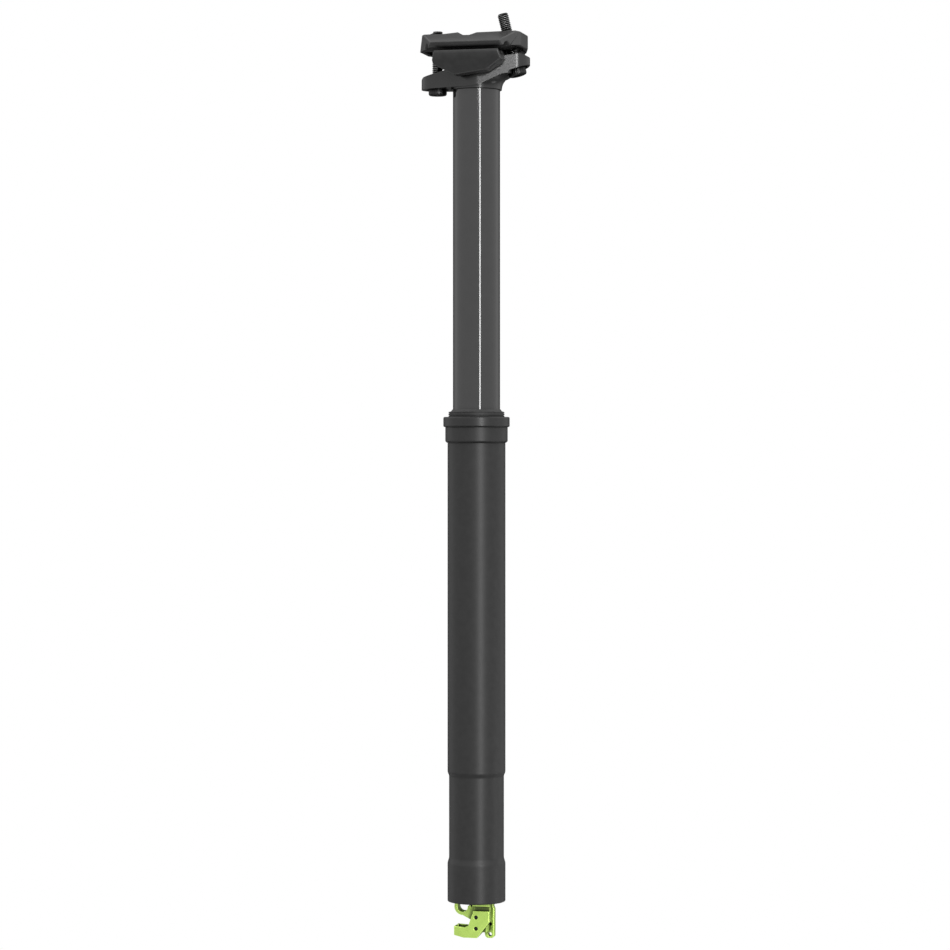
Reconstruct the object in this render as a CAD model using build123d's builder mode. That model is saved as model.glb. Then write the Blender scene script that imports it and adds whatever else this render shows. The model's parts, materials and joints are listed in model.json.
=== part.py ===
from build123d import *
import math
import os

# Dropper seatpost for a 31.6 mm seat tube, fully extended.
# The origin is on the tube's axis at the underside of the collar, which is where
# the post stops in the frame. +Z is up, +X is the rear of the bicycle, -Y its left side.

# Clearances and overruns shared by every piece
running_gap = 0.05      # radial clearance of a sliding or turning fit
bolt_gap = 0.35         # radial room round a clamp bolt, which rocks as the clamp tilts
seat_gap = 0.1          # between the cradle and the trough that it rocks in
overrun = 1.0           # how far a cut runs past the face it opens

# Travel
travel = 170.0
travel_margin = 4.2         # stanchion that still shows when the post is down

# Outer tube, measured down from the underside of the collar
tube_r = 15.8
tube_bore_r = 13.95
tube_length = 250.0
tube_spigot_r = 15.0
tube_spigot_height = 6.0
tube_edge_round = 0.4
waist_r = 14.97
waist_top = 179.5
waist_bottom = 229.0
waist_step = 2.0
waist_taper = 2.7

# Anti-rotation keys and their grooves
key_count = 3
key_width = 3.0
key_length = 10.0
key_pocket_depth = 0.7
groove_depth = 0.5
key_tip_gap = 0.1

# Collar at the mouth of the tube
collar_r = 17.04
collar_height = 8.6
collar_chamfer = 0.9
collar_lip_r = 13.3
nut_r = 18.11
nut_height = 5.5
nut_edge = 0.6
nut_thread_r = 15.6
nut_lip = 1.5
wiper_seat_r = 14.4
wiper_r = 15.3
wiper_ring_height = 2.4
wiper_height = 4.1
wiper_lip_r = 13.2
wiper_groove_depth = 0.35
wiper_groove_width = 0.35
wiper_groove_shares = (0.35, 0.8)   # shares of the ring's height
wiper_foot = 4.0

# Bushings
upper_bushing_length = 38.0
lower_bushing_length = 14.0

# Stanchion
stanchion_r = 12.87
stanchion_bore_r = 11.5
stanchion_above = travel + travel_margin    # what shows between the wiper and the head
stanchion_below = 60.0      # what stays inside the tube at full height

# Hydraulic cartridge inside the stanchion
cylinder_r = 10.5
cylinder_bore_r = 9.0
rod_r = 5.0
rod_bore_r = 2.3
piston_height = 10.0
piston_ring_height = 1.6
piston_ring_depth = 0.9
gland_height = 14.0
gland_flange = 2.0
cartridge_end_gap = 2.0
end_cap_height = 10.0
end_cap_flange = 4.0
floating_piston_height = 8.0
floating_piston_rest = 138.0    # above the piston at full height
circlip_height = 1.2
circlip_r = 9.6

# Tube base
plug_height = 10.0
plug_recess = 6.0           # how far the plug sits above the tube's lower rim
bumper_height = 3.0
bumper_r = 11.2
rod_nut_height = 4.0
rod_nut_across = 12.0

# Release pin and its valve
pin_r = 1.9
pin_reach = 5.0             # how far the pin's tip stands below the plug
valve_r = 2.7
valve_height = 3.0
release_stroke = 2.0
spring_wire = 0.6           # side of the square wire
spring_coil_r = 3.1
spring_turns = 3
spring_length = 4.4
spring_pocket_r = 3.7
pin_collar_height = 1.0
pin_collar_r = 3.5

# Actuator at the foot of the post
bracket_plate_r = 12.0
bracket_plate_height = 3.0
cheek_inner = 3.75
cheek_outer = 7.5
pivot_x = 1.5
pivot_drop = 8.0            # below the tube's lower rim
pivot_r = 1.05
pin_sink = 0.6              # how far the pins' ends lie below the bracket's sides
anchor_drop = 6.1           # the anchor pin below the pivot
cheek_right = 8.9
cheek_foot = 19.2           # lowest point of the near cheek below the rim
cheek_shoulder = 4.5        # foot of the recess across the near cheek
recess_height = 2.5
recess_depth = 2.5
arm_tip_x = -11.2
arm_top_drop = 13.2
arm_far_y = 3.6
arm_chamfer = 1.5           # across the arm's near corner, along Y
arm_chamfer_length = 5.8    # the same, along X
arm_pocket = 1.6            # depth of the pocket in the arm's top
arm_pocket_wall = 0.8
web_left = 2.5
web_right = 6.5
web_top_drop = 13.0
web_foot_drop = 16.5
lug_left = 3.9
lug_foot = 20.7
lug_hole_x = 6.6
lug_hole_drops = (12.9, 18.6)
housing_r = 2.55
housing_depth = 3.4
cable_slot = 1.8
lever_half_width = 3.5
hook_x = -7.0
hook_drop = 2.9
hook_r = 4.64
hook_bore_r = 2.9
lever_boss_r = 3.9
lever_sweep = 20.0          # degrees
cam_window_front = -4.0     # opening in the plate for the lever's cam
cam_window_rear = 6.0
cam_gap = 0.3               # slack between the pin and the cam at rest
cam_steps = 8

# Saddle head
head_ring_r = 13.85
head_seat_depth = 6.4
head_mid_r = 14.2
front_arm_r = 8.8
rear_arm_r = 8.2
head_reach = 30.7
head_height = 20.2
throat_r = 8.0              # hollow flare from the ring up to the arms
throat_band = 2.0
front_bolt_x = front_arm_r - head_reach
rear_arm_inset = 0.9        # the rear arm is this much shorter than the front one
rear_bolt_x = head_reach - rear_arm_r - rear_arm_inset
rear_bolt_base = 14.2       # height above the seam where the rear bolt crosses rear_bolt_x
rear_bolt_tilt = 14.5       # degrees
bolt_r = 3.0
bolt_head_r = 5.0
bolt_head_height = 5.0
bolt_length = 30.0
socket_across = 5.0
socket_depth = 3.0
washer_height = 2.2         # at the crown of its rounded top
washer_r = 5.2
rocker_r = 9.0              # radius of the washer's top, about an axis along Y
front_seat = 4.8            # crown of the front washer above the seam
counterbore_r = 6.1
arm_slot_half = 4.6         # half lengths of the slots that let the bolts rock
clamp_slot_half = 5.6

# Saddle rail clamp
rail_r = 3.5
rail_spacing = 44.0
rail_below_crown = 0.5      # rail centre below the top of the rear arm
rail_height = head_height - rail_below_crown
clamp_gap = 1.6             # between the cradle and the top clamp
tilt_centre_x = -2.0
tilt_above_rail = 9.5
tilt_centre = rail_height + tilt_above_rail
cradle_bolt_gap = 2.14      # between the cradle's middle and the front bolt
cradle_half_width = 28.5
cradle_foot_half_width = 24.0
cradle_inner = 15.8
cradle_front = -18.2
cradle_rear = 20.2
cradle_depth = 13.0
cradle_band = 1.9           # upright band under the cradle's top face
pocket_half = 9.0
pocket_depth = 3.0
clamp_half_width = 29.5
clamp_foot_half_width = 27.0
clamp_nose_length = 7.6     # in front of the front bolt
clamp_tail_length = 5.2     # behind the rear bolt
clamp_lip_height = 2.7
clamp_crown = 9.3
clamp_front_fall = 0.5
clamp_front_slant = 2.1
clamp_rear_rise = 0.4
clamp_boss_rise = 2.0
clamp_boss_r = 4.6
clamp_nose_half = 9.0
clamp_tail_r = 8.0
clamp_tail_lift = 2.4       # how far the tail's underside rises, clear of the rear arm
clamp_shoulder_front = -18.4
clamp_shoulder_rear = 20.0
clamp_crown_half = 12.5
valley_front = -4.5
valley_rear = 0.5
valley_depth = 1.9
valley_side = 2.7
valley_crest = 0.6          # rise of the crown in front of the valley
nut_barrel_r = 5.0
nut_barrel_half = 9.0
front_nut_above_rail = 5.9
rear_nut_above_rail = 6.3
front_nut_height = rail_height + front_nut_above_rail
rear_nut_height = rail_height + rear_nut_above_rail

# Heights worked out from the sizes above
rim = -tube_length
collar_top = collar_height
nut_top = collar_top + nut_height
wiper_top = nut_top + wiper_height
seam = wiper_top + stanchion_above
stanchion_foot = -stanchion_below
plug_face = rim + plug_recess
plug_top = plug_face + plug_height
gland_foot = stanchion_foot + cartridge_end_gap + circlip_height
gland_top = gland_foot + gland_height
piston_foot = gland_top + cartridge_end_gap
piston_top = piston_foot + piston_height
end_cap_top = seam - head_seat_depth
cylinder_top = end_cap_top - end_cap_flange
pivot_z = rim - pivot_drop
pin_tip = plug_face - pin_reach
key_top = -upper_bushing_length + tube_spigot_height - cam_gap
rail_z = seam + rail_height
tilt_z = seam + tilt_centre
cradle_middle_half = tilt_centre_x - front_bolt_x - bolt_r - cradle_bolt_gap
trough_r = math.hypot(tilt_above_rail + clamp_gap / 2, cradle_middle_half)
clamp_front = front_bolt_x - clamp_nose_length
clamp_rear = rear_bolt_x + clamp_tail_length
fit_r = stanchion_r + running_gap


def finish(part, name):
    part.label = name
    export_step(part, f"parts/{name}.step")


def rear_axis(height):
    # A point of the rear bolt's axis at a height above the seam
    drift = (rear_bolt_base - height) * math.tan(math.radians(rear_bolt_tilt))
    return rear_bolt_x + drift


def rear_plane(height):
    # A plane square to the rear bolt, with its local Z up the bolt
    lean = math.radians(rear_bolt_tilt)
    return Plane(
        origin=(rear_axis(height), 0, seam + height),
        x_dir=(math.cos(lean), 0, math.sin(lean)),
        z_dir=(-math.sin(lean), 0, math.cos(lean)),
    )


os.makedirs("parts", exist_ok=True)

# Outer tube: a waisted barrel with three key grooves down its bore
with BuildPart() as outer_tube:
    with BuildSketch(Plane.XZ):
        with BuildLine():
            Polyline(
                (tube_bore_r, tube_spigot_height),
                (tube_bore_r, rim),
                (tube_r, rim),
                (tube_r, -waist_bottom),
                (waist_r, -waist_bottom + waist_taper),
                (waist_r, -waist_top - waist_step),
                (tube_r, -waist_top),
                (tube_r, 0),
                (tube_spigot_r, 0),
                (tube_spigot_r, tube_spigot_height),
                close=True,
            )
        make_face()
    revolve(axis=Axis.Z)
    with BuildSketch(Plane.XY.offset(plug_top)):
        with PolarLocations(0, key_count):
            Rectangle(
                tube_bore_r + groove_depth,
                key_width + 2 * running_gap,
                align=(Align.MIN, Align.CENTER),
            )
    extrude(amount=tube_spigot_height - plug_top + overrun, mode=Mode.SUBTRACT)
    rim_edge = outer_tube.edges().filter_by(GeomType.CIRCLE).group_by(Axis.Z)[0].sort_by(SortBy.RADIUS)[-1]
    fillet(rim_edge, tube_edge_round)
finish(outer_tube.part, "outer_tube")

# Collar: screws onto the tube's spigot and stops the post in the frame
with BuildPart() as collar:
    with BuildSketch(Plane.XZ):
        with BuildLine():
            Polyline(
                (tube_spigot_r, 0),
                (collar_r - collar_chamfer, 0),
                (collar_r, collar_chamfer),
                (collar_r, collar_top),
                (nut_thread_r, collar_top),
                (nut_thread_r, nut_top - nut_lip),
                (wiper_seat_r, nut_top - nut_lip),
                (wiper_seat_r, nut_top - nut_lip - wiper_foot),
                (collar_lip_r, nut_top - nut_lip - wiper_foot),
                (collar_lip_r, tube_spigot_height),
                (tube_spigot_r, tube_spigot_height),
                close=True,
            )
        make_face()
    revolve(axis=Axis.Z)
finish(collar.part, "collar")

# Collar nut: holds the wiper down
with BuildPart() as collar_nut:
    with BuildSketch(Plane.XZ):
        with BuildLine():
            Polyline(
                (nut_thread_r, collar_top),
                (nut_r, collar_top),
                (nut_r, nut_top),
                (wiper_seat_r, nut_top),
                (wiper_seat_r, nut_top - nut_lip),
                (nut_thread_r, nut_top - nut_lip),
                close=True,
            )
        make_face()
    revolve(axis=Axis.Z)
    outer_edges = collar_nut.edges().filter_by(GeomType.CIRCLE).group_by(SortBy.RADIUS)[-1]
    chamfer(outer_edges, nut_edge)
finish(collar_nut.part, "collar_nut")

# Wiper: a rubber ring with two fine grooves and a lip that leans on the stanchion
with BuildPart() as wiper_seal:
    ring_top = nut_top + wiper_ring_height
    with BuildSketch(Plane.XZ):
        with BuildLine():
            Polyline(
                (fit_r, nut_top - nut_lip - wiper_foot),
                (wiper_seat_r, nut_top - nut_lip - wiper_foot),
                (wiper_seat_r, nut_top),
                (wiper_r, nut_top),
                (wiper_r, ring_top),
                (wiper_lip_r, wiper_top),
                (fit_r, wiper_top),
                close=True,
            )
        make_face()
    revolve(axis=Axis.Z)
    for groove_share in wiper_groove_shares:
        with BuildSketch(Plane.XY.offset(nut_top + groove_share * wiper_ring_height)):
            Circle(wiper_r + overrun)
            Circle(wiper_r - wiper_groove_depth, mode=Mode.SUBTRACT)
        extrude(amount=wiper_groove_width, mode=Mode.SUBTRACT)
finish(wiper_seal.part, "wiper_seal")


def ring(name, inner_r, outer_r, foot, height):
    # A plain turned ring about the tube's axis
    with BuildPart() as turned:
        with BuildSketch(Plane.XY.offset(foot)):
            Circle(outer_r)
            Circle(inner_r, mode=Mode.SUBTRACT)
        extrude(amount=height)
    finish(turned.part, name)


ring("upper_bushing", fit_r, tube_bore_r, tube_spigot_height - upper_bushing_length, upper_bushing_length)
ring("lower_bushing", stanchion_r, tube_bore_r - running_gap, stanchion_foot, lower_bushing_length)
ring("bottom_bumper", bumper_r, tube_bore_r, plug_top, bumper_height)
ring("cartridge_circlip", circlip_r, stanchion_bore_r, gland_foot - circlip_height, circlip_height)

# Keys: brass strips that stop the stanchion turning in the tube
key_inner = stanchion_r - key_pocket_depth
key_outer = tube_bore_r + groove_depth - key_tip_gap
with BuildPart() as anti_rotation_keys:
    with BuildSketch(Plane.XY.offset(key_top - key_length)):
        with PolarLocations(key_inner, key_count):
            Rectangle(key_outer - key_inner, key_width, align=(Align.MIN, Align.CENTER))
    extrude(amount=key_length)
finish(anti_rotation_keys.part, "anti_rotation_keys")

# Stanchion: the sliding inner tube, with a pocket for each key
with BuildPart() as stanchion:
    with BuildSketch(Plane.XY.offset(stanchion_foot)):
        Circle(stanchion_r)
        Circle(stanchion_bore_r, mode=Mode.SUBTRACT)
    extrude(amount=seam - stanchion_foot)
    with BuildSketch(Plane.XY.offset(key_top - key_length)):
        with PolarLocations(key_inner, key_count):
            Rectangle(key_pocket_depth + overrun, key_width, align=(Align.MIN, Align.CENTER))
    extrude(amount=key_length, mode=Mode.SUBTRACT)
finish(stanchion.part, "stanchion")

# Cartridge cylinder, between its gland and its end cap
ring("cartridge_cylinder", cylinder_bore_r, cylinder_r, gland_foot + gland_flange,
     cylinder_top - gland_foot - gland_flange)

with BuildPart() as rod_gland:
    with BuildSketch(Plane.XY.offset(gland_foot)):
        Circle(stanchion_bore_r)
    extrude(amount=gland_flange)
    with BuildSketch(Plane.XY.offset(gland_foot + gland_flange)):
        Circle(cylinder_bore_r)
    extrude(amount=gland_height - gland_flange)
    with BuildSketch(Plane.XY.offset(gland_foot)):
        Circle(rod_r + running_gap)
    extrude(amount=gland_height, mode=Mode.SUBTRACT)
finish(rod_gland.part, "rod_gland")

with BuildPart() as cartridge_end_cap:
    with BuildSketch(Plane.XY.offset(cylinder_top)):
        Circle(stanchion_bore_r)
    extrude(amount=end_cap_flange)
    with BuildSketch(Plane.XY.offset(cylinder_top)):
        Circle(cylinder_bore_r)
    extrude(amount=-end_cap_height)
finish(cartridge_end_cap.part, "cartridge_end_cap")


def grooved_piston(name, bore, foot, height, bottom_r):
    # A piston with one groove for its seal, and a hole for the rod where bottom_r isn't zero
    body_r = cylinder_bore_r - running_gap
    middle = foot + height / 2
    with BuildPart() as piston:
        with BuildSketch(Plane.XY.offset(foot)):
            Circle(body_r)
            if bore > 0:
                Circle(bore, mode=Mode.SUBTRACT)
        extrude(amount=height)
        with BuildSketch(Plane.XY.offset(middle - piston_ring_height / 2)):
            Circle(body_r + overrun)
            Circle(body_r - piston_ring_depth, mode=Mode.SUBTRACT)
        extrude(amount=piston_ring_height, mode=Mode.SUBTRACT)
        if bottom_r > 0:
            with BuildSketch(Plane.XY.offset(foot)):
                Circle(bottom_r)
            extrude(amount=height / 2, mode=Mode.SUBTRACT)
    finish(piston.part, name)
    ring(f"{name}_seal", body_r - piston_ring_depth, body_r, middle - piston_ring_height / 2,
         piston_ring_height)


grooved_piston("rod_piston", valve_r + running_gap, piston_foot, piston_height, rod_r)
floating_foot = piston_top + floating_piston_rest
grooved_piston("floating_piston", 0, floating_foot, floating_piston_height, 0)

# Hollow piston rod, from the base plug up into the piston
with BuildPart() as piston_rod:
    with BuildSketch(Plane.XY.offset(plug_face)):
        Circle(rod_r)
        Circle(rod_bore_r, mode=Mode.SUBTRACT)
    extrude(amount=piston_foot + piston_height / 2 - plug_face)
    with BuildSketch(Plane.XY.offset(plug_face)):
        Circle(spring_pocket_r)
    extrude(amount=spring_length + pin_collar_height + release_stroke, mode=Mode.SUBTRACT)
finish(piston_rod.part, "piston_rod")

# Release pin: runs up the hollow rod and lifts the valve in the piston off its seat
spring_foot = plug_face + pin_collar_height
with BuildPart() as release_pin:
    with BuildSketch(Plane.XY.offset(pin_tip)):
        Circle(pin_r)
    extrude(amount=piston_foot + piston_height / 2 - pin_tip)
    fillet(release_pin.edges().group_by(Axis.Z)[0], pin_r - running_gap)
    with BuildSketch(Plane.XY.offset(plug_face)):
        Circle(pin_collar_r)
    extrude(amount=pin_collar_height)
    with BuildSketch(Plane.XY.offset(piston_foot + piston_height / 2)):
        Circle(valve_r)
    extrude(amount=valve_height)
finish(release_pin.part, "release_pin")

# Return spring round the pin, in the foot of the rod
with BuildPart() as return_spring:
    wire_rise = spring_length - spring_wire - 2 * running_gap
    with BuildLine() as coil:
        Helix(
            pitch=wire_rise / spring_turns,
            height=wire_rise,
            radius=spring_coil_r,
            center=(0, 0, spring_foot + spring_wire / 2 + running_gap),
        )
    with BuildSketch(Plane(origin=coil.line @ 0, x_dir=(1, 0, 0), z_dir=coil.line % 0)):
        Rectangle(spring_wire, spring_wire)
    sweep(is_frenet=True)
finish(return_spring.part, "return_spring")

# Base plug: closes the tube and carries the rod
with BuildPart() as base_plug:
    with BuildSketch(Plane.XY.offset(plug_face)):
        Circle(tube_bore_r)
        Circle(rod_r, mode=Mode.SUBTRACT)
    extrude(amount=plug_height)
finish(base_plug.part, "base_plug")

with BuildPart() as rod_nut:
    with BuildSketch(Plane.XY.offset(plug_top)):
        RegularPolygon(rod_nut_across / 2, side_count=6, major_radius=False)
        Circle(rod_r, mode=Mode.SUBTRACT)
    extrude(amount=rod_nut_height)
finish(rod_nut.part, "rod_nut")

# Actuator bracket: a plate under the plug with a near cheek, a housing stop and a rear lug
side_plane = Plane.XZ       # local X is X, local Y is Z, and its normal points to -Y


def drop(amount):
    # A height below the tube's lower rim
    return rim - amount


with BuildPart() as actuator_bracket:
    plate_foot = plug_face - bracket_plate_height
    with BuildSketch(Plane.XY.offset(plate_foot)):
        Circle(bracket_plate_r)
    extrude(amount=bracket_plate_height)
    neck_left = pivot_x - cheek_shoulder / 2
    with BuildSketch(side_plane.offset(cheek_inner)):
        with BuildLine():
            Polyline(
                (neck_left, plate_foot + overrun),
                (neck_left + overrun / 2, drop(pivot_drop - cheek_shoulder / 2)),
                (neck_left - overrun / 2, drop(pivot_drop)),
                (arm_tip_x / 4, drop(arm_top_drop - overrun / 2)),
                (arm_tip_x / 2 + overrun / 2, drop(arm_top_drop + overrun / 2)),
                (arm_tip_x, drop(arm_top_drop)),
                (arm_tip_x, drop(cheek_foot - overrun)),
                (arm_tip_x / 2, drop(cheek_foot)),
                (pivot_x + overrun / 2, drop(cheek_foot)),
                (cheek_right, drop(pivot_drop + cheek_shoulder / 2)),
                (cheek_right, plate_foot + overrun),
                close=True,
            )
        make_face()
    extrude(amount=cheek_outer - cheek_inner)
    # A recess runs across the near cheek under the tube's rim
    with BuildSketch(side_plane.offset(cheek_outer - recess_depth)):
        with Locations((0, drop(cheek_shoulder))):
            Rectangle(2 * tube_r, recess_height, align=(Align.CENTER, Align.MIN))
    extrude(amount=recess_depth + overrun, mode=Mode.SUBTRACT)
    # The housing stop reaches across under the lever
    stop_right = hook_x + housing_r + overrun / 2
    with BuildSketch(side_plane.offset(-arm_far_y)):
        with BuildLine():
            Polyline(
                (arm_tip_x, drop(arm_top_drop)),
                (arm_tip_x, drop(cheek_foot - overrun)),
                (stop_right, drop(cheek_foot)),
                (stop_right, drop(arm_top_drop + overrun / 2)),
                close=True,
            )
        make_face()
    extrude(amount=arm_far_y + cheek_inner)
    # Rear lug with two plain holes
    with BuildSketch(side_plane.offset(-cheek_outer)):
        with BuildLine():
            Polyline(
                (lug_left - overrun, plate_foot + overrun),
                (lug_left - overrun, drop(pivot_drop + cheek_shoulder)),
                (lug_left, drop(lug_foot - overrun)),
                (lug_left + overrun, drop(lug_foot)),
                (cheek_right - overrun, drop(lug_foot)),
                (cheek_right, drop(lug_foot - overrun)),
                (cheek_right, drop(cheek_shoulder)),
                (cheek_right - overrun / 2, drop(cheek_shoulder - overrun)),
                (cheek_right - overrun / 2, plate_foot + overrun),
                close=True,
            )
            # The far ear of the pivot is part of the same lug
        make_face()
        with Locations((pivot_x, pivot_z)):
            Circle(lever_boss_r)
        with Locations((pivot_x, (pivot_z + plate_foot) / 2)):
            Rectangle(2 * lever_boss_r, plate_foot - pivot_z + overrun)
    extrude(amount=cheek_outer - cheek_inner)
    # The upper hole is blind, the lower one goes through
    with BuildSketch(side_plane.offset(overrun - cheek_inner)):
        with Locations((lug_hole_x, drop(lug_hole_drops[0]))):
            Circle(pivot_r)
    extrude(amount=cheek_inner - cheek_outer, mode=Mode.SUBTRACT)
    with BuildSketch(side_plane.offset(overrun - cheek_inner)):
        with Locations((lug_hole_x, drop(lug_hole_drops[1]))):
            Circle(pivot_r)
    extrude(amount=-cheek_outer, mode=Mode.SUBTRACT)
    # A web joins the cheek and the lug below the lever
    with BuildSketch(Plane.XY.offset(drop(web_foot_drop))):
        with Locations(((web_left + web_right) / 2, 0)):
            Rectangle(web_right - web_left, 2 * cheek_inner)
    extrude(amount=web_foot_drop - web_top_drop)
    with BuildSketch(side_plane):
        with Locations((pivot_x, pivot_z), (pivot_x, pivot_z - anchor_drop)):
            Circle(pivot_r)
    extrude(amount=cheek_outer + overrun, both=True, mode=Mode.SUBTRACT)
    # Seat for the cable housing, a hole for the cable and a slot to slip it in
    with BuildSketch(Plane.XY.offset(drop(cheek_foot + overrun))):
        with Locations((hook_x, 0)):
            Circle(housing_r)
    extrude(amount=housing_depth + overrun, mode=Mode.SUBTRACT)
    with BuildSketch(Plane.XY.offset(drop(cheek_foot + overrun))):
        with Locations((hook_x, 0)):
            Circle(cable_slot / 2)
            Rectangle(-arm_tip_x + hook_x + overrun, cable_slot, align=(Align.MAX, Align.CENTER))
    extrude(amount=cheek_foot, mode=Mode.SUBTRACT)
    # Window in the plate for the release pin and the lever's cam
    with BuildSketch(Plane.XY.offset(plate_foot - overrun)):
        with Locations(((cam_window_front + cam_window_rear) / 2, 0)):
            Rectangle(cam_window_rear - cam_window_front, 2 * cheek_inner)
    extrude(amount=bracket_plate_height + overrun, mode=Mode.SUBTRACT)
    # Pocket in the arm's top, between the cheek and the housing stop
    with BuildSketch(Plane.XY.offset(drop(arm_top_drop + arm_pocket))):
        with BuildLine():
            Polyline(
                (arm_tip_x + arm_pocket_wall, arm_far_y - arm_pocket_wall),
                (arm_tip_x + arm_pocket_wall, arm_pocket_wall + arm_chamfer - cheek_outer),
                (hook_x + housing_r, arm_pocket_wall + arm_chamfer - cheek_outer),
                (hook_x + housing_r, arm_far_y - arm_pocket_wall),
                close=True,
            )
        make_face()
    extrude(amount=arm_pocket + 2 * overrun, mode=Mode.SUBTRACT)
    # The arm's near corner is cut off at a slant
    with BuildSketch(Plane.XY.offset(drop(lug_foot))):
        with BuildLine():
            Polyline(
                (arm_tip_x, arm_chamfer - cheek_outer),
                (arm_tip_x + arm_chamfer_length, -cheek_outer),
                (arm_tip_x + arm_chamfer_length, -cheek_outer - overrun),
                (arm_tip_x - overrun, -cheek_outer - overrun),
                (arm_tip_x - overrun, arm_chamfer - cheek_outer),
                close=True,
            )
        make_face()
    extrude(amount=lug_foot, mode=Mode.SUBTRACT)
finish(actuator_bracket.part, "actuator_bracket")


def pin_y(name, radius, x, z, half_length):
    # A plain pin across the actuator
    with BuildPart() as pin:
        with BuildSketch(side_plane):
            with Locations((x, z)):
                Circle(radius)
        extrude(amount=half_length, both=True)
    finish(pin.part, name)


pin_y("lever_pivot_pin", pivot_r, pivot_x, pivot_z, cheek_outer - pin_sink)

# Spring anchor pin, in the near cheek below the pivot
with BuildPart() as stop_pin:
    with BuildSketch(side_plane.offset(cheek_inner - overrun)):
        with Locations((pivot_x, pivot_z - anchor_drop)):
            Circle(pivot_r)
    extrude(amount=cheek_outer - cheek_inner + overrun - pin_sink)
finish(stop_pin.part, "stop_pin")

# Lever: a hook for the cable's barrel end, a boss on the pivot and a cam under the pin.
# The pin's rounded tip rises evenly with the lever's angle,
# so the cam is that path set in by the tip's radius.
cam_rise = release_stroke / math.radians(lever_sweep)
cam_base = pin_tip + pin_r - pivot_z


def cam_point(turn):
    sine = math.sin(turn)
    cosine = math.cos(turn)
    height = cam_base + cam_rise * turn
    x = height * sine - pivot_x * cosine
    z = height * cosine + pivot_x * sine
    along_x = height * cosine + (cam_rise + pivot_x) * sine
    along_z = (cam_rise + pivot_x) * cosine - height * sine
    inset = (pin_r + cam_gap) / math.hypot(along_x, along_z)
    return (pivot_x + x + inset * along_z, pivot_z + z - inset * along_x)


# The cam starts a little before the pin and ends a little past it
cam_lead = pin_r / cam_base / 2
cam_span = math.radians(lever_sweep) + 2 * cam_lead
cam_turns = [cam_span * i / cam_steps - cam_lead for i in range(cam_steps + 1)]
with BuildPart() as release_lever:
    hook_z = drop(hook_drop)
    with BuildSketch(side_plane.offset(-lever_half_width)):
        with Locations((hook_x, hook_z)):
            Circle(hook_r)
        with Locations((pivot_x, pivot_z)):
            Circle(lever_boss_r)
        with BuildLine():
            cam_line = Spline([cam_point(turn) for turn in cam_turns])
            Polyline(
                cam_line @ 1,
                (pivot_x + lever_boss_r, pivot_z),
                (pivot_x, pivot_z - lever_boss_r),
                (hook_x, hook_z - hook_r),
                (hook_x + hook_bore_r, hook_z),
                (hook_x + hook_r, hook_z - overrun / 2),
                cam_line @ 0,
            )
        make_face()
        with Locations((hook_x, hook_z)):
            Circle(hook_bore_r, mode=Mode.SUBTRACT)
        # The hook's mouth opens up and to the rear
        with BuildLine():
            Polyline(
                (hook_x, hook_z + hook_bore_r - overrun),
                (hook_x, hook_z + hook_r + overrun),
                (hook_x + 2 * hook_r, hook_z + hook_r + overrun),
                (hook_x + hook_r + overrun / 2, hook_z + overrun),
                (hook_x + hook_bore_r - overrun, hook_z),
                close=True,
            )
        make_face(mode=Mode.SUBTRACT)
        with Locations((pivot_x, pivot_z)):
            Circle(pivot_r + running_gap, mode=Mode.SUBTRACT)
    extrude(amount=2 * lever_half_width)
    # Slot for the cable under the hook
    with BuildSketch(Plane.XY.offset(hook_z)):
        with Locations((hook_x, 0)):
            Rectangle(hook_r + overrun, cable_slot)
    extrude(amount=-hook_r - overrun, mode=Mode.SUBTRACT)
finish(release_lever.part, "release_lever")

# Saddle head: two arms on a ring, drawn from the side, from above and as a flare under the arms.
# Shares of the head's reach along X and of its height above the seam.
head_foot_shares = [
    (-1.0, 0.035),
    (0.0, 0.05),
    (0.18, 0.11),
    (0.66, 0.47),
    (0.9, 0.6),
    (1.0, 0.66),
]
head_base_shares = [(-1.0, 0.0), (1.0, 0.0)]
head_crown_shares = [
    (1.0, 0.74),
    (0.94, 0.87),
    (0.86, 0.925),
    (0.5, 0.84),
    (-0.4, 0.54),
    (-0.93, 0.36),
    (-1.0, 0.28),
]
front_frame = Plane(origin=(front_bolt_x, 0, seam + front_seat), x_dir=(1, 0, 0), z_dir=(0, 0, 1))
rear_frame = rear_plane(rear_bolt_base)


def head_points(shares):
    return [(u * head_reach, seam + v * head_height) for u, v in shares]


def rocker_plane(frame):
    # The side plane of a bolt, centred on the axis that its washer rocks about
    return Plane(origin=frame.origin - frame.z_dir * rocker_r, x_dir=frame.x_dir, z_dir=(0, -1, 0))


def rocker_room(frame):
    # The room under an arm for a bolt's head, closed by the hollow seat that the washer rocks in
    with BuildPart() as room:
        with BuildSketch(frame.offset(-washer_height - bolt_head_height - overrun)):
            Circle(counterbore_r)
        extrude(amount=head_height)
        with BuildSketch(rocker_plane(frame)):
            Circle(rocker_r + running_gap)
            Rectangle(2 * rocker_r, 2 * head_height, align=(Align.CENTER, Align.MAX))
        extrude(amount=rocker_r, both=True, mode=Mode.INTERSECT)
    return room.part


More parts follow.
